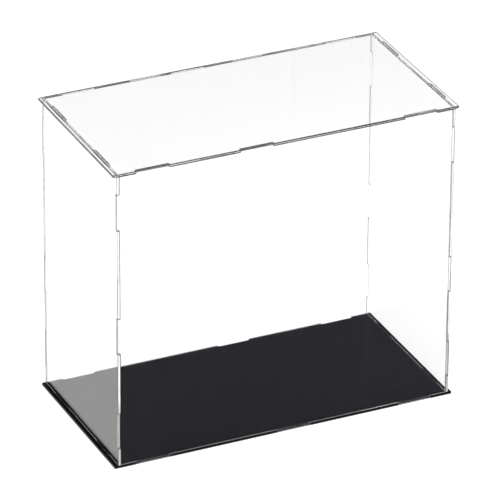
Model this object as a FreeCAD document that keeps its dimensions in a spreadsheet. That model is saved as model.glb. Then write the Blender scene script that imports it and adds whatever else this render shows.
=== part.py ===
import FreeCAD, Part
import os
import Sketcher

# Display case cut from acrylic sheet: a black base, four clear walls and a clear top.
# Tabs on the walls key into open notches and closed slots of their neighbours.
# Millimetres, X along the width, Y towards the back, Z up, origin under the middle of the base.

# Each row is an alias, its value and what it means.
DIMENSIONS = [
    ("case_width", 400, "overall width of the base and the top"),
    ("case_depth", 200, "overall depth of every horizontal panel and side wall"),
    ("case_height", 350, "overall height from the underside of the base to the upper face of the top"),
    ("sheet_thickness", 3, "thickness of the acrylic sheet"),
    ("side_overhang", 4, "how far the base and the top stand out past each side wall"),
    ("joint_clearance", 0.1, "gap between panels at every face of a joint"),
    ("long_tab", 38, "length of a tab that runs along the width"),
    ("long_tab_inset", 45, "end of the base or top to the middle of the outer tab of the front or back wall"),
    ("short_tab", 36, "length of a tab that runs along the depth"),
    ("short_tab_inset", 43, "front or back of a side wall to the middle of its tab"),
    ("upright_tab", 42, "length of a tab that runs along the height"),
    ("upright_tab_inset", 45, "floor or upper face of the case to the middle of the outer upright tab"),
    ("top_front_key", -36, "middle tab of the front wall in the top, from the middle of the case"),
    ("top_back_key", -27, "middle tab of the back wall in the top, from the middle of the case"),
    ("base_front_key", 10, "middle tab of the front wall in the base, from the middle of the case"),
    ("base_back_key", 29, "middle tab of the back wall in the base, from the middle of the case"),
    ("front_left_key", -16, "middle tab of the front wall in the left wall, from half the height"),
    ("front_right_key", -26, "middle tab of the front wall in the right wall, from half the height"),
    ("back_left_key", -38, "middle tab of the back wall in the left wall, from half the height"),
    ("back_right_key", -30, "middle tab of the back wall in the right wall, from half the height"),
]

SHEET = "dims.sheet_thickness"
GAP = "dims.joint_clearance"
HALF_WIDTH = "dims.case_width / 2"
HALF_DEPTH = "dims.case_depth / 2"
HALF_HEIGHT = "dims.case_height / 2"
# Outer face of a side wall, from the middle of the case.
SIDE_FACE = f"({HALF_WIDTH} - dims.side_overhang)"
# A tab crosses the gap and its neighbour's thickness, so its end is flush.
TAB_REACH = f"({SHEET} + {GAP})"
# The walls stand between the base and the top, with a gap at each.
WALL_FOOT = f"({SHEET} + {GAP})"
WALL_HEAD = f"(dims.case_height - {SHEET} - {GAP})"


class Stretch:
    """A length along one sketch axis, held as a start and a size that are expressions."""

    def __init__(self, start, size):
        self.start = start
        self.size = size

    @classmethod
    def between(cls, start, end):
        return cls(start, f"({end}) - ({start})")

    @classmethod
    def about(cls, middle, size):
        return cls(f"({middle}) - ({size}) / 2", size)

    def eased(self):
        """The same stretch with the joint's clearance added at both ends."""
        return Stretch(f"{self.start} - {GAP}", f"{self.size} + 2 * {GAP}")


def long_tabs(key):
    """The tabs of the front or back wall along one of its long edges."""
    outer = f"({HALF_WIDTH} - dims.long_tab_inset)"
    return [Stretch.about(middle, "dims.long_tab") for middle in (f"-{outer}", f"dims.{key}", outer)]


def short_tabs():
    """The tabs of a side wall along its upper or lower edge."""
    outer = f"({HALF_DEPTH} - dims.short_tab_inset)"
    return [Stretch.about(middle, "dims.short_tab") for middle in (f"-{outer}", outer)]


def upright_tabs(key):
    """The tabs of the front or back wall along one of its upright edges."""
    low = "dims.upright_tab_inset"
    high = f"dims.case_height - {low}"
    middles = (low, f"{HALF_HEIGHT} + dims.{key}", high)
    return [Stretch.about(middle, "dims.upright_tab") for middle in middles]


def make_dimensions(doc):
    sheet = doc.addObject("Spreadsheet::Sheet", "dims")
    for row, (alias, value, meaning) in enumerate(DIMENSIONS, start=1):
        sheet.set(f"A{row}", meaning)
        sheet.set(f"B{row}", str(value))
        sheet.setAlias(f"B{row}", alias)
    doc.recompute()


def origin_plane(body, role):
    return next(plane for plane in body.Origin.OriginFeatures if plane.Role == role)


def add_sketch(body, role, name):
    sketch = body.newObject("Sketcher::SketchObject", name)
    sketch.AttachmentSupport = [(origin_plane(body, role), "")]
    sketch.MapMode = "FlatFace"
    return sketch


def bind(sketch, name, constraint, expression):
    """Add a named dimension to a sketch and tie it to an expression."""
    index = sketch.addConstraint(constraint)
    sketch.renameConstraint(index, name)
    sketch.setExpression(f"Constraints.{name}", expression)


def add_rectangle(sketch, name, across, up):
    """Draw a rectangle whose place and size follow two stretches."""
    left, wide, low, tall = [
        float(sketch.evalExpression(text)) for text in (across.start, across.size, up.start, up.size)
    ]
    corners = [(left, low), (left + wide, low), (left + wide, low + tall), (left, low + tall)]
    points = [FreeCAD.Vector(u, v, 0) for u, v in corners]
    sides = [Part.LineSegment(points[i], points[(i + 1) % 4]) for i in range(4)]
    bottom, right, top, left_side = sketch.addGeometry(sides, False)
    for side, following in ((bottom, right), (right, top), (top, left_side), (left_side, bottom)):
        sketch.addConstraint(Sketcher.Constraint("Coincident", side, 2, following, 1))
    for side in (bottom, top):
        sketch.addConstraint(Sketcher.Constraint("Horizontal", side))
    for side in (right, left_side):
        sketch.addConstraint(Sketcher.Constraint("Vertical", side))
    bind(sketch, f"{name}_left", Sketcher.Constraint("DistanceX", -1, 1, bottom, 1, left), across.start)
    bind(sketch, f"{name}_low", Sketcher.Constraint("DistanceY", -1, 1, bottom, 1, low), up.start)
    bind(sketch, f"{name}_wide", Sketcher.Constraint("DistanceX", bottom, 1, bottom, 2, wide), across.size)
    bind(sketch, f"{name}_tall", Sketcher.Constraint("DistanceY", right, 1, right, 2, tall), up.size)


def add_rectangles(sketch, stem, rectangles):
    for number, (across, up) in enumerate(rectangles, start=1):
        add_rectangle(sketch, f"{stem}{number}", across, up)


def add_plate(body, role, rectangles, name, against_normal):
    """Raise rectangles to the sheet's thickness."""
    sketch = add_sketch(body, role, f"{body.Label}_{name}_sketch")
    add_rectangles(sketch, name, rectangles)
    pad = body.newObject("PartDesign::Pad", f"{body.Label}_{name}")
    pad.Profile = sketch
    pad.Reversed = against_normal
    pad.setExpression("Length", SHEET)


def cut_through(body, role, rectangles, name, against_normal):
    """Cut rectangles through the sheet."""
    sketch = add_sketch(body, role, f"{body.Label}_{name}_sketch")
    add_rectangles(sketch, name, rectangles)
    pocket = body.newObject("PartDesign::Pocket", f"{body.Label}_{name}")
    pocket.Profile = sketch
    pocket.Reversed = not against_normal
    pocket.setExpression("Length", SHEET)


def add_body(doc, label, axis, expression):
    body = doc.addObject("PartDesign::Body", label)
    body.Label = label
    body.setExpression(f"Placement.Base.{axis}", expression)
    return body


def horizontal_panel(doc, label, underside, front_key, back_key):
    """The base or the top: notches along its front and back edges, slots beside its ends."""
    body = add_body(doc, label, "z", underside)
    width = Stretch.between(f"-{HALF_WIDTH}", HALF_WIDTH)
    depth = Stretch.between(f"-{HALF_DEPTH}", HALF_DEPTH)
    add_plate(body, "XY_Plane", [(width, depth)], "plate", False)
    front_edge = Stretch(f"-{HALF_DEPTH}", TAB_REACH)
    back_edge = Stretch(f"{HALF_DEPTH} - {TAB_REACH}", TAB_REACH)
    notches = [(tab.eased(), front_edge) for tab in long_tabs(front_key)]
    notches += [(tab.eased(), back_edge) for tab in long_tabs(back_key)]
    cut_through(body, "XY_Plane", notches, "notch", False)
    left_wall = Stretch(f"-{SIDE_FACE}", SHEET).eased()
    right_wall = Stretch(f"{SIDE_FACE} - {SHEET}", SHEET).eased()
    slots = [(wall, tab.eased()) for wall in (left_wall, right_wall) for tab in short_tabs()]
    cut_through(body, "XY_Plane", slots, "slot", False)
    return body


def long_wall(doc, label, front_face, top_key, base_key, left_key, right_key):
    """The front or back wall: it stands between the side walls, with tabs on all four edges."""
    body = add_body(doc, label, "y", front_face)
    shoulder = f"({SIDE_FACE} - {TAB_REACH})"
    width = Stretch.between(f"-{shoulder}", shoulder)
    height = Stretch.between(WALL_FOOT, WALL_HEAD)
    add_plate(body, "XZ_Plane", [(width, height)], "plate", True)
    above = Stretch(WALL_HEAD, TAB_REACH)
    below = Stretch("0", TAB_REACH)
    leftward = Stretch(f"-{SIDE_FACE}", TAB_REACH)
    rightward = Stretch(shoulder, TAB_REACH)
    tabs = [(tab, above) for tab in long_tabs(top_key)]
    tabs += [(tab, below) for tab in long_tabs(base_key)]
    tabs += [(leftward, tab) for tab in upright_tabs(left_key)]
    tabs += [(rightward, tab) for tab in upright_tabs(right_key)]
    add_plate(body, "XZ_Plane", tabs, "tab", True)
    return body


def side_wall(doc, label, left_face, front_key, back_key):
    """The left or right wall: it runs the full depth, notched for the front and back walls' tabs."""
    body = add_body(doc, label, "x", left_face)
    depth = Stretch.between(f"-{HALF_DEPTH}", HALF_DEPTH)
    height = Stretch.between(WALL_FOOT, WALL_HEAD)
    add_plate(body, "YZ_Plane", [(depth, height)], "plate", False)
    above = Stretch(WALL_HEAD, TAB_REACH)
    below = Stretch("0", TAB_REACH)
    tabs = [(tab, edge) for edge in (above, below) for tab in short_tabs()]
    add_plate(body, "YZ_Plane", tabs, "tab", False)
    front_edge = Stretch(f"-{HALF_DEPTH}", TAB_REACH)
    back_edge = Stretch(f"{HALF_DEPTH} - {TAB_REACH}", TAB_REACH)
    notches = [(front_edge, tab.eased()) for tab in upright_tabs(front_key)]
    notches += [(back_edge, tab.eased()) for tab in upright_tabs(back_key)]
    cut_through(body, "YZ_Plane", notches, "notch", False)
    return body


def build_case(doc):
    make_dimensions(doc)
    back_face = f"{HALF_DEPTH} - {SHEET}"
    right_face = f"{SIDE_FACE} - {SHEET}"
    top_face = f"dims.case_height - {SHEET}"
    return [
        horizontal_panel(doc, "base_plate", "0", "base_front_key", "base_back_key"),
        long_wall(doc, "front_wall", f"-{HALF_DEPTH}",
                  "top_front_key", "base_front_key", "front_left_key", "front_right_key"),
        long_wall(doc, "back_wall", back_face,
                  "top_back_key", "base_back_key", "back_left_key", "back_right_key"),
        side_wall(doc, "left_wall", f"-{SIDE_FACE}", "front_left_key", "back_left_key"),
        side_wall(doc, "right_wall", right_face, "front_right_key", "back_right_key"),
        horizontal_panel(doc, "top_panel", top_face, "top_front_key", "top_back_key"),
    ]


def check_document(doc, panels):
    """Stop if a feature failed or a panel isn't one valid solid."""
    for item in doc.Objects:
        if {"Invalid", "Error"} & set(item.State):
            raise RuntimeError(f"{item.Label} failed: {item.State}")
    for panel in panels:
        shape = panel.Shape
        if shape.isNull() or not shape.isValid() or len(shape.Solids) != 1:
            raise RuntimeError(f"{panel.Label} isn't one valid solid")


def export_panels(panels):
    os.makedirs("parts", exist_ok=True)
    for panel in panels:
        panel.Shape.exportStep(f"parts/{panel.Label}.step")
        box = panel.Shape.BoundBox
        print(f"{panel.Label}: {panel.Shape.Volume:.1f} mm3, "
              f"X {box.XMin:.2f} to {box.XMax:.2f}, Y {box.YMin:.2f} to {box.YMax:.2f}, "
              f"Z {box.ZMin:.2f} to {box.ZMax:.2f}")


def main():
    doc = FreeCAD.newDocument("display_case")
    panels = build_case(doc)
    doc.recompute()
    check_document(doc, panels)
    export_panels(panels)


main()
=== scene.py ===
"""Dresses a self-assembly display case: polished clear and black acrylic sheet on a plain white stage."""
import math

import bmesh
import bpy
from bpy.props import FloatProperty, FloatVectorProperty, PointerProperty
from mathutils import Matrix, Vector


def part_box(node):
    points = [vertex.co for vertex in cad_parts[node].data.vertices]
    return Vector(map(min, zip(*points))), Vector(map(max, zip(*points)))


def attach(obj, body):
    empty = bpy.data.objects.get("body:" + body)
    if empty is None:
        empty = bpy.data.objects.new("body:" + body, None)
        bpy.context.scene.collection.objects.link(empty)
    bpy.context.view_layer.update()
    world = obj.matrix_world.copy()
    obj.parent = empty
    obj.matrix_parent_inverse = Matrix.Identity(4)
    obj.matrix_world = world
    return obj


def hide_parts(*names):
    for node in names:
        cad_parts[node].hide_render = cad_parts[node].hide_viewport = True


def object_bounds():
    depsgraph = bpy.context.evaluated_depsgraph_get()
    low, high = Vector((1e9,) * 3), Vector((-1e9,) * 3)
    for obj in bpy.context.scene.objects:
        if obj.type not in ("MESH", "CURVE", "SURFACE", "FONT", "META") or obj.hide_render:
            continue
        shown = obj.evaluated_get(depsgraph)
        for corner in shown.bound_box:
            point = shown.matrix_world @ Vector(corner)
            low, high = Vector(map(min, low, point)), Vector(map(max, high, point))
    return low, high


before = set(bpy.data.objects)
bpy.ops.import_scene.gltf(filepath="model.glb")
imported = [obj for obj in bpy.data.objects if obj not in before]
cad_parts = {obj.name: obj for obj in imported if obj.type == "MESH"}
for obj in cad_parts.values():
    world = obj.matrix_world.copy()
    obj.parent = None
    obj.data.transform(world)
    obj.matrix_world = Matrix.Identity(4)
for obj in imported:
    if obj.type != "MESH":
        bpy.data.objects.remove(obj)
CAD_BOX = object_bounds()
SHEET_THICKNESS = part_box("top_panel")[1].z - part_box("top_panel")[0].z

bl_info = {
    "name": "Display Case",
    "version": (1, 0, 0),
    "blender": (4, 5, 0),
    "location": "View3D > Sidebar > Display Case",
    "description": "Finishes the panels of an acrylic display case and sets up its stage",
    "category": "Object",
}

ACRYLIC_IOR = 1.49
# Light that enters a cut edge runs along the sheet and turns back at its faces many times.
SHEET_BOUNCES = 160
# Corners closer than this are one corner, and faces that turn by less than this are one face.
WELD_DISTANCE = SHEET_THICKNESS * 0.001
FLAT_ANGLE = math.radians(1.0)

AXIS_X = Vector((1.0, 0.0, 0.0))
AXIS_Y = Vector((0.0, 1.0, 0.0))
AXIS_Z = Vector((0.0, 0.0, 1.0))

# Places of a panel's materials in its list.
FACE, UPRIGHT_CUT, RIM, LEVEL_CUT = range(4)
# A face looks along an axis where its normal has more than this share along it.
FACING_SHARE = 0.5
# The broken edge of a panel, and how sharply faces have to meet to get one.
BREAK_SEGMENTS = 2
BREAK_ANGLE = math.radians(40.0)

# Noise of the laser streaks, how strongly they show, and their depth as a share of their width.
STREAK_DETAIL = 3.0
STREAK_LEVELS = (0.35, 0.65)
STREAK_STRENGTH = 0.008
STREAK_DEPTH = 0.05
# Noise of the wiping marks.
MARK_DETAIL = 5.0
MARK_DISTORTION = 0.6
MARK_LEVELS = (0.45, 0.75)
# Where the painted shade along the top's cut edge, a dark band at each border, begins and is full, as shares
# of half its thickness.
PAINTED_SHADE_START = 0.28
PAINTED_SHADE_FULL = 0.4
# Roughness of the two tones of the black cut edge, and its shine.
BLACK_CUT_ROUGHNESS = (0.22, 0.4)
BLACK_CUT_SHINE = 0.25

# The sweep: its reach, gap below the case, own grey, and the distances between which its glow turns white.
FLOOR_REACH = 12.0
FLOOR_GAP = 0.0002
SWEEP_GREY = 0.4
GLOW_NEAR = 0.4
GLOW_FAR = 2.0
WHITE_GLOW = 1.0
# The card in front of the case, a painted reflection: a dark sheet that only the panels' reflections show,
# standing in for the unlit front of the room. Half its width, its depth, gap to the case, height and colour.
CARD_SIDE = 0.7
CARD_DEPTH = 0.9
CARD_GAP = 0.002
CARD_HEIGHT = 0.0005
CARD_COLOUR = (0.14, 0.135, 0.16, 1.0)
# A ray that has crossed one panel at most counts fewer crossings than this.
ONE_PANEL_CROSSINGS = 2.5
# The room is dim up to one height of the sky and bright from another.
ROOM_DIM_HEIGHT = 0.6
ROOM_DIM_COLOUR = (0.02, 0.02, 0.023, 1.0)
ROOM_BRIGHT_HEIGHT = 0.95
ROOM_BRIGHT_COLOUR = (0.9, 0.9, 0.9, 1.0)
# Places, aims and sizes of the lamps.
SOFT_BOX_PLACE = (-0.5, -0.1, 1.7)
SOFT_BOX_AIM = (-0.5, -0.1, 0.0)
SOFT_BOX_SIZE = (1.6, 1.4)
FILL_PLACE = (-1.0, -2.0, 1.0)
FILL_SIZE = (1.2, 1.2)
SIDE_LAMP_PLACE = (0.45, 0.08, 0.5)
SIDE_LAMP_AIM = (0.35, 0.08, 0.0)
SIDE_LAMP_SIZE = (0.35, 0.35)
# Width of the camera's sensor in millimetres, and how far it sees in metres.
SENSOR_WIDTH = 36.0
CAMERA_REACH = 60.0


class DisplayCaseFinish(bpy.types.PropertyGroup):
    """Sizes and colours of the acrylic that a user would change."""

    edge_break: FloatProperty(
        name="Edge Break",
        description="Width of the small bevel along every edge of a panel",
        default=SHEET_THICKNESS * 0.13,
        unit="LENGTH",
    )
    clear_tint: FloatVectorProperty(
        name="Clear Tint",
        description="Colour of light that has crossed a clear face",
        subtype="COLOR",
        size=3,
        default=(0.996, 0.997, 0.997),
        min=0.0,
        max=1.0,
    )
    edge_light: FloatVectorProperty(
        name="Cut Edge Light",
        description="Colour of the clearer streaks of a laser-cut edge",
        subtype="COLOR",
        size=3,
        default=(0.98, 0.965, 0.95),
        min=0.0,
        max=1.0,
    )
    edge_dark: FloatVectorProperty(
        name="Cut Edge Dark",
        description="Colour of the darker streaks of a laser-cut edge",
        subtype="COLOR",
        size=3,
        default=(0.93, 0.91, 0.89),
        min=0.0,
        max=1.0,
    )
    upright_clearness: FloatProperty(
        name="Upright Cut Clearness",
        description="Share of the light that crosses the upright cuts of the walls, the rest is scattered",
        default=0.65,
        min=0.0,
        max=1.0,
        subtype="FACTOR",
    )
    tab_clearness: FloatProperty(
        name="Tab End Clearness",
        description="The same share for the level cuts of the walls and the cut edge of the top",
        default=0.94,
        min=0.0,
        max=1.0,
        subtype="FACTOR",
    )
    edge_roughness: FloatProperty(
        name="Cut Edge Roughness",
        description="Roughness of a laser-cut edge",
        default=0.03,
        min=0.0,
        max=1.0,
        subtype="FACTOR",
    )
    # Painted shade: a dark colour on the broken rims of the walls that stands in for the dark lines
    # refraction draws along the cut edges.
    wall_rim_painted_shade: FloatVectorProperty(
        name="Wall Rim Painted Shade",
        description="Colour of the smoked rims along both sides of a wall's cut edges",
        subtype="COLOR",
        size=3,
        default=(0.08, 0.075, 0.07),
        min=0.0,
        max=1.0,
    )
    # How much light crosses the rims that are painted dark as shade.
    rim_clearness: FloatProperty(
        name="Rim Clearness",
        description="Share of the light that crosses a smoked rim, the rest is scattered",
        default=0.95,
        min=0.0,
        max=1.0,
        subtype="FACTOR",
    )
    # Painted shade: the top's rims get a darker colour than the walls', which also paints the dark bands of
    # its cut edge; it stands in for the dark lines refraction draws there.
    top_rim_painted_shade: FloatVectorProperty(
        name="Top Rim Painted Shade",
        description="Colour of the rims of the top, which are smoked darker",
        subtype="COLOR",
        size=3,
        default=(0.015, 0.014, 0.013),
        min=0.0,
        max=1.0,
    )
    streak_width: FloatProperty(
        name="Streak Width",
        description="Width of the streaks that the beam leaves across a cut edge",
        default=0.0005,
        unit="LENGTH",
    )
    shadow_tint: FloatVectorProperty(
        name="Shadow Tint",
        description="Share of the lamps' light that a clear panel lets through",
        subtype="COLOR",
        size=3,
        default=(0.93, 0.93, 0.93),
        min=0.0,
        max=1.0,
    )
    base_colour: FloatVectorProperty(
        name="Base Colour",
        description="Colour of the black sheet",
        subtype="COLOR",
        size=3,
        default=(0.0016, 0.0016, 0.002),
        min=0.0,
        max=1.0,
    )


class DisplayCaseStage(bpy.types.PropertyGroup):
    """Camera and light of the stage."""

    azimuth: FloatProperty(
        name="Camera Azimuth",
        description="Direction of the camera round the case, from straight in front",
        default=math.radians(-25.015),
        subtype="ANGLE",
    )
    elevation: FloatProperty(
        name="Camera Elevation",
        description="Height of the camera above the horizon",
        default=math.radians(27.854),
        subtype="ANGLE",
    )
    roll: FloatProperty(
        name="Camera Roll",
        description="Tilt of the camera about its own axis",
        default=math.radians(0.424),
        subtype="ANGLE",
    )
    distance: FloatProperty(
        name="Camera Distance",
        description="Distance from the camera to the point that it looks at",
        default=5.5951,
        unit="LENGTH",
    )
    focal_length: FloatProperty(
        name="Focal Length",
        description="Focal length of the lens in millimetres",
        default=374.15,
    )
    aim: FloatVectorProperty(
        name="Aim",
        description="Point that the camera looks at",
        subtype="XYZ",
        size=3,
        default=(0.0031, 0.0, 0.1714),
    )
    floor_glow: FloatProperty(
        name="Floor Glow",
        description="Brightness that the white sweep adds to the light falling on it",
        default=0.69,
        min=0.0,
    )
    # Painted reflection: the sweep's glow as one panel mirrors it, set lower than the floor glow.
    reflected_glow: FloatProperty(
        name="Reflected Glow",
        description="The same brightness as a polished face mirrors it",
        default=0.42,
        min=0.0,
    )
    lamp_power: FloatProperty(
        name="Lamp Power",
        description="Power of the soft box over the case",
        default=22.0,
        unit="POWER",
    )
    fill_power: FloatProperty(
        name="Fill Power",
        description="Power of the soft fill in front of the case",
        default=60.0,
        unit="POWER",
    )
    side_power: FloatProperty(
        name="Side Power",
        description="Power of the small lamp over the floor at the right of the case",
        default=2.8,
        unit="POWER",
    )


class NodeTree:
    """Small helper that adds nodes to a tree and links them by socket name."""

    def __init__(self, tree):
        self.tree = tree

    def add(self, kind, **settings):
        node = self.tree.nodes.new(kind)
        for name, value in settings.items():
            setattr(node, name, value)
        return node

    def link(self, source, target):
        self.tree.links.new(source, target)

    def math(self, operation, *values):
        node = self.add("ShaderNodeMath", operation=operation)
        for socket, value in zip(node.inputs, values):
            if isinstance(value, (int, float)):
                socket.default_value = value
            else:
                self.link(value, socket)
        return node.outputs["Value"]

    def map_range(self, value, low, high, new_low=0.0, new_high=1.0):
        node = self.add("ShaderNodeMapRange")
        node.inputs["From Min"].default_value = low
        node.inputs["From Max"].default_value = high
        node.inputs["To Min"].default_value = new_low
        node.inputs["To Max"].default_value = new_high
        self.link(value, node.inputs["Value"])
        return node.outputs["Result"]


def new_group(name, inputs, outputs):
    """A shader node group with named sockets, and its input and output nodes."""
    group = bpy.data.node_groups.new(name, "ShaderNodeTree")
    for socket_name, kind, default in inputs:
        socket = group.interface.new_socket(socket_name, in_out="INPUT", socket_type=kind)
        socket.default_value = default
    for socket_name, kind in outputs:
        group.interface.new_socket(socket_name, in_out="OUTPUT", socket_type=kind)
    nodes = NodeTree(group)
    return group, nodes, nodes.add("NodeGroupInput"), nodes.add("NodeGroupOutput")


def streaks_group():
    """Streaks that a laser leaves across a cut edge: a tone from 0 to 1 and a height."""
    group, nodes, given, result = new_group(
        "Laser Streaks",
        [
            ("Along Edge", "NodeSocketVector", (1.0, 1.0, 0.0)),
            ("Streaks per Metre", "NodeSocketFloat", 800.0),
        ],
        [("Tone", "NodeSocketFloat"), ("Height", "NodeSocketFloat")],
    )
    surface = nodes.add("ShaderNodeTexCoord")
    flattened = nodes.add("ShaderNodeVectorMath", operation="MULTIPLY")
    nodes.link(surface.outputs["Object"], flattened.inputs[0])
    nodes.link(given.outputs["Along Edge"], flattened.inputs[1])
    streaks = nodes.add("ShaderNodeTexNoise", noise_dimensions="3D")
    streaks.inputs["Detail"].default_value = STREAK_DETAIL
    nodes.link(flattened.outputs["Vector"], streaks.inputs["Vector"])
    nodes.link(given.outputs["Streaks per Metre"], streaks.inputs["Scale"])
    nodes.link(nodes.map_range(streaks.outputs["Fac"], *STREAK_LEVELS), result.inputs["Tone"])
    nodes.link(streaks.outputs["Fac"], result.inputs["Height"])
    return group


def marks_group():
    """Faint wiping marks of a handled polished sheet, as a roughness."""
    group, nodes, given, result = new_group(
        "Wiping Marks",
        [
            ("Scale", "NodeSocketFloat", 18.0),
            ("Roughness", "NodeSocketFloat", 0.02),
            ("Spread", "NodeSocketFloat", 0.02),
        ],
        [("Roughness", "NodeSocketFloat")],
    )
    surface = nodes.add("ShaderNodeTexCoord")
    smear = nodes.add("ShaderNodeTexNoise", noise_dimensions="3D")
    smear.inputs["Detail"].default_value = MARK_DETAIL
    smear.inputs["Distortion"].default_value = MARK_DISTORTION
    nodes.link(surface.outputs["Object"], smear.inputs["Vector"])
    nodes.link(given.outputs["Scale"], smear.inputs["Scale"])
    shaped = nodes.map_range(smear.outputs["Fac"], *MARK_LEVELS)
    spread = nodes.math("MULTIPLY", shaped, given.outputs["Spread"])
    nodes.link(nodes.math("ADD", spread, given.outputs["Roughness"]), result.inputs["Roughness"])
    return group


def place_group(nodes, name, build, **values):
    """A shared node group, built at its first use, with its own input values."""
    node = nodes.add("ShaderNodeGroup")
    node.node_tree = bpy.data.node_groups.get(name) or build()
    for socket_name, value in values.items():
        node.inputs[socket_name.replace("_", " ")].default_value = value
    return node


def place_streaks(nodes, thickness_axis, finish):
    """The laser streaks of a panel, which run straight through its thickness."""
    return place_group(
        nodes,
        "Laser Streaks",
        streaks_group,
        Along_Edge=Vector((1.0, 1.0, 1.0)) - thickness_axis,
        Streaks_per_Metre=1.0 / finish.streak_width,
    )


def new_material(name):
    """An empty material, and the helper for its nodes."""
    material = bpy.data.materials.new(name)
    material.use_nodes = True
    material.node_tree.nodes.clear()
    return material, NodeTree(material.node_tree)


def add_streak_bump(nodes, streaks, shader, finish):
    """Let the laser streaks catch the light a little."""
    bump = nodes.add("ShaderNodeBump")
    bump.inputs["Strength"].default_value = STREAK_STRENGTH
    bump.inputs["Distance"].default_value = finish.streak_width * STREAK_DEPTH
    nodes.link(streaks.outputs["Height"], bump.inputs["Height"])
    nodes.link(bump.outputs["Normal"], shader.inputs["Normal"])


def finish_clear(nodes, shader, finish):
    """End a clear material so that the lamps shine through the sheet."""
    passed = nodes.add("ShaderNodeBsdfTransparent")
    passed.inputs["Color"].default_value = (*finish.shadow_tint, 1.0)
    path = nodes.add("ShaderNodeLightPath")
    mixed = nodes.add("ShaderNodeMixShader")
    nodes.link(path.outputs["Is Shadow Ray"], mixed.inputs["Fac"])
    nodes.link(shader.outputs["BSDF"], mixed.inputs[1])
    nodes.link(passed.outputs["BSDF"], mixed.inputs[2])
    output = nodes.add("ShaderNodeOutputMaterial")
    nodes.link(mixed.outputs["Shader"], output.inputs["Surface"])


def clear_face(finish):
    """Polished face of a clear sheet, with faint wiping marks."""
    name = "Clear Acrylic Face"
    if name in bpy.data.materials:
        return bpy.data.materials[name]
    material, nodes = new_material(name)
    marks = place_group(nodes, "Wiping Marks", marks_group, Roughness=0.0, Spread=0.012)
    shader = nodes.add("ShaderNodeBsdfPrincipled")
    shader.inputs["Base Color"].default_value = (*finish.clear_tint, 1.0)
    shader.inputs["IOR"].default_value = ACRYLIC_IOR
    shader.inputs["Transmission Weight"].default_value = 1.0
    nodes.link(marks.outputs["Roughness"], shader.inputs["Roughness"])
    finish_clear(nodes, shader, finish)
    return material


def paint_shade_on_borders(nodes, colour, node, thickness_axis, shade_colour):
    """The colour of a cut edge with painted shade: a dark band along both of its borders, standing in for the
    dark lines that refraction draws there.
    """
    low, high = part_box(node)
    middle = (low + high).dot(thickness_axis) * 0.5
    half = (high - low).dot(thickness_axis) * 0.5
    surface = nodes.add("ShaderNodeTexCoord")
    across = nodes.add("ShaderNodeVectorMath", operation="DOT_PRODUCT")
    across.inputs[1].default_value = thickness_axis
    nodes.link(surface.outputs["Object"], across.inputs[0])
    from_middle = nodes.math("ABSOLUTE", nodes.math("SUBTRACT", across.outputs["Value"], middle))
    band = nodes.map_range(from_middle, half * PAINTED_SHADE_START, half * PAINTED_SHADE_FULL)
    shaded = nodes.add("ShaderNodeMix", data_type="RGBA")
    shaded.inputs["B"].default_value = (*shade_colour, 1.0)
    nodes.link(colour, shaded.inputs["A"])
    nodes.link(band, shaded.inputs["Factor"])
    return shaded.outputs["Result"]


def clear_edge(name, thickness_axis, clearness, finish, shaded_node=None):
    """Laser-cut edge of a clear sheet: streaked, a little frosted and warmer than the face."""
    material, nodes = new_material(name)
    streaks = place_streaks(nodes, thickness_axis, finish)
    tint = nodes.add("ShaderNodeMix", data_type="RGBA")
    tint.inputs["A"].default_value = (*finish.edge_dark, 1.0)
    tint.inputs["B"].default_value = (*finish.edge_light, 1.0)
    nodes.link(streaks.outputs["Tone"], tint.inputs["Factor"])
    colour = tint.outputs["Result"]
    # Painted shade: on the top, dark bands along both borders of the cut.
    if shaded_node:
        colour = paint_shade_on_borders(nodes, colour, shaded_node, thickness_axis, finish.top_rim_painted_shade)
    shader = nodes.add("ShaderNodeBsdfPrincipled")
    shader.inputs["IOR"].default_value = ACRYLIC_IOR
    shader.inputs["Roughness"].default_value = finish.edge_roughness
    shader.inputs["Transmission Weight"].default_value = clearness
    nodes.link(colour, shader.inputs["Base Color"])
    add_streak_bump(nodes, streaks, shader, finish)
    finish_clear(nodes, shader, finish)
    return material


def clear_rim(name, colour, finish):
    """Broken corner of a clear sheet, painted dark as shade along both sides of the cut: the colour stands in
    for the dark lines that refraction draws there.
    """
    if name in bpy.data.materials:
        return bpy.data.materials[name]
    material, nodes = new_material(name)
    marks = place_group(nodes, "Wiping Marks", marks_group, Scale=120.0, Roughness=0.06, Spread=0.03)
    shader = nodes.add("ShaderNodeBsdfPrincipled")
    shader.inputs["Base Color"].default_value = (*colour, 1.0)
    shader.inputs["IOR"].default_value = ACRYLIC_IOR
    shader.inputs["Transmission Weight"].default_value = finish.rim_clearness
    nodes.link(marks.outputs["Roughness"], shader.inputs["Roughness"])
    finish_clear(nodes, shader, finish)
    return material


def black_face(finish):
    """Polished face of the opaque black sheet, with faint wiping marks."""
    material, nodes = new_material("Black Acrylic Face")
    marks = place_group(nodes, "Wiping Marks", marks_group, Roughness=0.04, Spread=0.05)
    shader = nodes.add("ShaderNodeBsdfPrincipled")
    shader.inputs["Base Color"].default_value = (*finish.base_colour, 1.0)
    shader.inputs["IOR"].default_value = ACRYLIC_IOR
    nodes.link(marks.outputs["Roughness"], shader.inputs["Roughness"])
    output = nodes.add("ShaderNodeOutputMaterial")
    nodes.link(shader.outputs["BSDF"], output.inputs["Surface"])
    return material


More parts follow.
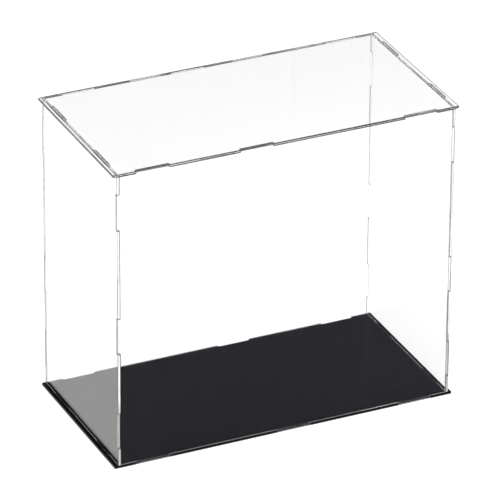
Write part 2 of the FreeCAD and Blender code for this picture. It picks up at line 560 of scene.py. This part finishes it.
def black_edge(thickness_axis, finish):
    """Laser-cut edge of the black sheet, duller than its face."""
    material, nodes = new_material("Black Acrylic Cut Edge")
    streaks = place_streaks(nodes, thickness_axis, finish)
    roughness = nodes.map_range(streaks.outputs["Tone"], 0.0, 1.0, *BLACK_CUT_ROUGHNESS)
    shader = nodes.add("ShaderNodeBsdfPrincipled")
    shader.inputs["Base Color"].default_value = (*finish.base_colour, 1.0)
    shader.inputs["IOR"].default_value = ACRYLIC_IOR
    shader.inputs["Specular IOR Level"].default_value = BLACK_CUT_SHINE
    nodes.link(roughness, shader.inputs["Roughness"])
    add_streak_bump(nodes, streaks, shader, finish)
    output = nodes.add("ShaderNodeOutputMaterial")
    nodes.link(shader.outputs["BSDF"], output.inputs["Surface"])
    return material


def dress_panel(node, body, thickness_axis, materials, finish):
    """A panel in the place of its plain solid. Its materials: faces, upright cuts, rims and level cuts."""
    sheet = bmesh.new()
    sheet.from_mesh(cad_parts[node].data)
    bmesh.ops.remove_doubles(sheet, verts=sheet.verts, dist=WELD_DISTANCE)
    bmesh.ops.dissolve_limit(sheet, angle_limit=FLAT_ANGLE, verts=sheet.verts, edges=sheet.edges)
    for face in sheet.faces:
        if abs(face.normal.dot(thickness_axis)) > FACING_SHARE:
            face.material_index = FACE
        elif abs(face.normal.z) > FACING_SHARE:
            face.material_index = LEVEL_CUT
        else:
            face.material_index = UPRIGHT_CUT
    mesh = bpy.data.meshes.new(node + "_sheet")
    sheet.to_mesh(mesh)
    sheet.free()
    for material in materials:
        mesh.materials.append(material)
    panel = bpy.data.objects.new(node + "_sheet", mesh)
    bpy.context.scene.collection.objects.link(panel)
    bevel = panel.modifiers.new("Edge Break", "BEVEL")
    bevel.width = finish.edge_break
    bevel.segments = BREAK_SEGMENTS
    bevel.limit_method = "ANGLE"
    bevel.angle_limit = BREAK_ANGLE
    bevel.loop_slide = False
    # The broken edges take the rim material, which on the clear panels is painted dark as shade.
    bevel.material = RIM
    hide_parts(node)
    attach(panel, body)


class DressBase(bpy.types.Operator):
    """Finish the black base of the case."""

    bl_idname = "display_case.dress_base"
    bl_label = "Dress Base"

    def execute(self, context):
        finish = context.scene.display_case_finish
        edge = black_edge(AXIS_Z, finish)
        materials = (black_face(finish), edge, edge)
        dress_panel("base_plate", "base", AXIS_Z, materials, finish)
        return {"FINISHED"}


class DressLongWalls(bpy.types.Operator):
    """Finish the clear front and back walls."""

    bl_idname = "display_case.dress_long_walls"
    bl_label = "Dress Front and Back Walls"

    def execute(self, context):
        finish = context.scene.display_case_finish
        edge = clear_edge("Clear Long Wall Cut Edge", AXIS_Y, finish.upright_clearness, finish)
        tab_end = clear_edge("Clear Long Wall Tab End", AXIS_Y, finish.tab_clearness, finish)
        # The wall rims are painted dark as shade.
        rim = clear_rim("Clear Wall Rim Painted Shade", finish.wall_rim_painted_shade, finish)
        materials = (clear_face(finish), edge, rim, tab_end)
        for node in ("front_wall", "back_wall"):
            dress_panel(node, "walls", AXIS_Y, materials, finish)
        return {"FINISHED"}


class DressSideWalls(bpy.types.Operator):
    """Finish the clear left and right walls."""

    bl_idname = "display_case.dress_side_walls"
    bl_label = "Dress Side Walls"

    def execute(self, context):
        finish = context.scene.display_case_finish
        edge = clear_edge("Clear Side Wall Cut Edge", AXIS_X, finish.upright_clearness, finish)
        tab_end = clear_edge("Clear Side Wall Tab End", AXIS_X, finish.tab_clearness, finish)
        # The wall rims are painted dark as shade.
        rim = clear_rim("Clear Wall Rim Painted Shade", finish.wall_rim_painted_shade, finish)
        materials = (clear_face(finish), edge, rim, tab_end)
        for node in ("left_wall", "right_wall"):
            dress_panel(node, "walls", AXIS_X, materials, finish)
        return {"FINISHED"}


class DressTop(bpy.types.Operator):
    """Finish the clear top of the case."""

    bl_idname = "display_case.dress_top"
    bl_label = "Dress Top"

    def execute(self, context):
        finish = context.scene.display_case_finish
        edge = clear_edge("Clear Top Cut Edge", AXIS_Z, finish.tab_clearness, finish, shaded_node="top_panel")
        # The top's rims and the borders of its cut edge are painted dark as shade.
        rim = clear_rim("Clear Top Rim Painted Shade", finish.top_rim_painted_shade, finish)
        materials = (clear_face(finish), edge, rim)
        dress_panel("top_panel", "top", AXIS_Z, materials, finish)
        return {"FINISHED"}


def flat_sheet(name, low, high, height):
    """A level rectangle between two corners."""
    corners = [(low[0], low[1]), (high[0], low[1]), (high[0], high[1]), (low[0], high[1])]
    mesh = bpy.data.meshes.new(name)
    mesh.from_pydata([(x, y, height) for x, y in corners], [], [(0, 1, 2, 3)])
    sheet = bpy.data.objects.new(name, mesh)
    bpy.context.scene.collection.objects.link(sheet)
    return sheet


def mirrored_by_one_panel(nodes, path):
    """1 on a ray that one panel has mirrored, 0 on a ray that has crossed more than one panel."""
    mirrored = nodes.math("MINIMUM", path.outputs["Glossy Depth"], 1.0)
    near = nodes.math("LESS_THAN", path.outputs["Transmission Depth"], ONE_PANEL_CROSSINGS)
    return nodes.math("MULTIPLY", mirrored, near)


def sweep_material(stage):
    """White sweep: it takes the case's shadow and adds a glow, whiter far off, that camera and glass see."""
    material, nodes = new_material("White Sweep")
    matt = nodes.add("ShaderNodeBsdfDiffuse")
    matt.inputs["Color"].default_value = (SWEEP_GREY, SWEEP_GREY, SWEEP_GREY, 1.0)
    path = nodes.add("ShaderNodeLightPath")
    seen = nodes.math("MAXIMUM", path.outputs["Is Camera Ray"], path.outputs["Is Glossy Ray"])
    seen = nodes.math("MAXIMUM", seen, path.outputs["Is Transmission Ray"])
    surface = nodes.add("ShaderNodeTexCoord")
    from_case = nodes.add("ShaderNodeVectorMath", operation="LENGTH")
    nodes.link(surface.outputs["Object"], from_case.inputs[0])
    distance = from_case.outputs["Value"]
    unmirrored = nodes.map_range(distance, GLOW_NEAR, GLOW_FAR, stage.floor_glow, WHITE_GLOW)
    # Painted reflection: where one panel mirrors the sweep, its glow drops to the reflected glow.
    dimming = stage.reflected_glow - stage.floor_glow
    level = nodes.math("MULTIPLY_ADD", mirrored_by_one_panel(nodes, path), dimming, unmirrored)
    glow = nodes.add("ShaderNodeEmission")
    nodes.link(nodes.math("MULTIPLY", seen, level), glow.inputs["Strength"])
    total = nodes.add("ShaderNodeAddShader")
    nodes.link(matt.outputs["BSDF"], total.inputs[0])
    nodes.link(glow.outputs["Emission"], total.inputs[1])
    output = nodes.add("ShaderNodeOutputMaterial")
    nodes.link(total.outputs["Shader"], output.inputs["Surface"])
    return material


def dark_card_material():
    """Painted reflection: dark grey card that shows only where one panel mirrors it, standing in for the
    unlit front of the room.
    """
    material, nodes = new_material("Dark Card")
    matt = nodes.add("ShaderNodeBsdfDiffuse")
    matt.inputs["Color"].default_value = CARD_COLOUR
    hidden = nodes.add("ShaderNodeBsdfTransparent")
    path = nodes.add("ShaderNodeLightPath")
    mixed = nodes.add("ShaderNodeMixShader")
    nodes.link(mirrored_by_one_panel(nodes, path), mixed.inputs["Fac"])
    nodes.link(hidden.outputs["BSDF"], mixed.inputs[1])
    nodes.link(matt.outputs["BSDF"], mixed.inputs[2])
    output = nodes.add("ShaderNodeOutputMaterial")
    nodes.link(mixed.outputs["Shader"], output.inputs["Surface"])
    return material


def add_floor(stage):
    """The sweep under the case, and the card in front of it."""
    low = CAD_BOX[0]
    floor = flat_sheet("floor", (-FLOOR_REACH, -FLOOR_REACH), (FLOOR_REACH, FLOOR_REACH), low.z - FLOOR_GAP)
    floor.data.materials.append(sweep_material(stage))
    card_low = (-CARD_SIDE, low.y - CARD_DEPTH)
    card_high = (CARD_SIDE, low.y - CARD_GAP)
    card = flat_sheet("dark_card", card_low, card_high, low.z + CARD_HEIGHT)
    card.data.materials.append(dark_card_material())
    card.visible_camera = False
    card.visible_diffuse = False
    card.visible_shadow = False


def add_soft_box(name, place, aim, size, power):
    """A rectangular area lamp that faces a point."""
    lamp = bpy.data.lights.new(name, "AREA")
    lamp.shape = "RECTANGLE"
    lamp.size, lamp.size_y = size
    lamp.energy = power
    holder = bpy.data.objects.new(name, lamp)
    holder.location = place
    holder.rotation_euler = (Vector(aim) - Vector(place)).to_track_quat("-Z", "Y").to_euler()
    holder.visible_camera = False
    bpy.context.scene.collection.objects.link(holder)
    return holder


def add_room_light(stage):
    """A dim room that brightens overhead, a soft box, a fill in front of the case and a small side lamp."""
    scene = bpy.context.scene
    world = bpy.data.worlds.new("Studio Room")
    scene.world = world
    world.use_nodes = True
    world.node_tree.nodes.clear()
    nodes = NodeTree(world.node_tree)
    direction = nodes.add("ShaderNodeTexCoord")
    split = nodes.add("ShaderNodeSeparateXYZ")
    nodes.link(direction.outputs["Generated"], split.inputs["Vector"])
    ramp = nodes.add("ShaderNodeValToRGB")
    dim, bright = ramp.color_ramp.elements
    dim.position = ROOM_DIM_HEIGHT
    dim.color = ROOM_DIM_COLOUR
    bright.position = ROOM_BRIGHT_HEIGHT
    bright.color = ROOM_BRIGHT_COLOUR
    nodes.link(split.outputs["Z"], ramp.inputs["Fac"])
    background = nodes.add("ShaderNodeBackground")
    nodes.link(ramp.outputs["Color"], background.inputs["Color"])
    output = nodes.add("ShaderNodeOutputWorld")
    nodes.link(background.outputs["Background"], output.inputs["Surface"])
    add_soft_box("soft_box", SOFT_BOX_PLACE, SOFT_BOX_AIM, SOFT_BOX_SIZE, stage.lamp_power)
    fill = add_soft_box("front_fill", FILL_PLACE, stage.aim, FILL_SIZE, stage.fill_power)
    side = add_soft_box("side_lamp", SIDE_LAMP_PLACE, SIDE_LAMP_AIM, SIDE_LAMP_SIZE, stage.side_power)
    # Only the light of these two is wanted, not their mirror images in the panels.
    for lamp in (fill, side):
        lamp.visible_glossy = False
        lamp.visible_transmission = False


def add_camera(stage):
    """The camera of the main view, turned about its own axis by the roll."""
    scene = bpy.context.scene
    camera_data = bpy.data.cameras.new("camera")
    camera_data.sensor_width = SENSOR_WIDTH
    camera_data.lens = stage.focal_length
    camera_data.clip_end = CAMERA_REACH
    camera = bpy.data.objects.new("camera", camera_data)
    scene.collection.objects.link(camera)
    flat = math.cos(stage.elevation)
    back = Vector((
        math.sin(stage.azimuth) * flat,
        -math.cos(stage.azimuth) * flat,
        math.sin(stage.elevation),
    ))
    right = Vector((math.cos(stage.azimuth), math.sin(stage.azimuth), 0.0))
    up = back.cross(right)
    turned_right = right * math.cos(stage.roll) + up * math.sin(stage.roll)
    turned_up = up * math.cos(stage.roll) - right * math.sin(stage.roll)
    facing = Matrix((turned_right, turned_up, back)).transposed()
    camera.matrix_world = Matrix.Translation(Vector(stage.aim) + back * stage.distance) @ facing.to_4x4()
    scene.camera = camera


class SetStage(bpy.types.Operator):
    """Set up the white sweep, the light and the camera."""

    bl_idname = "display_case.set_stage"
    bl_label = "Set Stage"

    def execute(self, context):
        stage = context.scene.display_case_stage
        context.scene.view_settings.view_transform = "Standard"
        context.scene.cycles.max_bounces = SHEET_BOUNCES
        context.scene.cycles.transmission_bounces = SHEET_BOUNCES
        context.scene.cycles.glossy_bounces = SHEET_BOUNCES
        add_floor(stage)
        add_room_light(stage)
        add_camera(stage)
        return {"FINISHED"}


class DisplayCasePanel(bpy.types.Panel):
    """Lists the steps that finish the display case."""

    bl_idname = "VIEW3D_PT_display_case"
    bl_label = "Display Case"
    bl_space_type = "VIEW_3D"
    bl_region_type = "UI"
    bl_category = "Display Case"

    def draw(self, context):
        for group in (context.scene.display_case_finish, context.scene.display_case_stage):
            for name in group.__annotations__:
                self.layout.prop(group, name)
        for step in STEPS:
            self.layout.operator(step.bl_idname)


STEPS = (DressBase, DressLongWalls, DressSideWalls, DressTop, SetStage)
CLASSES = (DisplayCaseFinish, DisplayCaseStage, *STEPS, DisplayCasePanel)


def register():
    for cls in CLASSES:
        bpy.utils.register_class(cls)
    bpy.types.Scene.display_case_finish = PointerProperty(type=DisplayCaseFinish)
    bpy.types.Scene.display_case_stage = PointerProperty(type=DisplayCaseStage)


def unregister():
    del bpy.types.Scene.display_case_stage
    del bpy.types.Scene.display_case_finish
    for cls in reversed(CLASSES):
        bpy.utils.unregister_class(cls)


def main():
    register()
    bpy.ops.display_case.dress_base()
    bpy.ops.display_case.dress_long_walls()
    bpy.ops.display_case.dress_side_walls()
    bpy.ops.display_case.dress_top()
    bpy.ops.display_case.set_stage()


if __name__ == "__main__":
    main()
